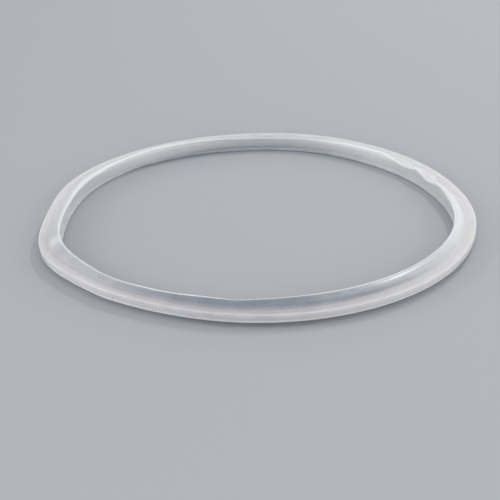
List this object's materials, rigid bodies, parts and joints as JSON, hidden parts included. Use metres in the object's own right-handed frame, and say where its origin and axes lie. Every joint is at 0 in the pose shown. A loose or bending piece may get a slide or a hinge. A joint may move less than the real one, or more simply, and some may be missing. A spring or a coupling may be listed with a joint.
{
  "type": "pressure cooker sealing ring",
  "caption": "Round translucent silicone lip seal: a solid heel seats in the channel of a pressure cooker lid and thin lips open inwards to seal under steam pressure.",
  "frame": {"origin": "centre of the circle that the ring rests on, on its axis at the height of the lower lip's flat land", "axes": "+Z is the ring's axis and points from the lip that it rests on to the other lip; X and Y lie in the resting plane and are alike, because the ring is round"},
  "size_m": [0.246, 0.246, 0.0102],
  "materials": {
    "silicone": "translucent milky silicone rubber, moulded, with a soft satin gloss"
  },
  "bodies": {
    "root": {"sealing_ring": "silicone"}
  },
  "joints": []
}
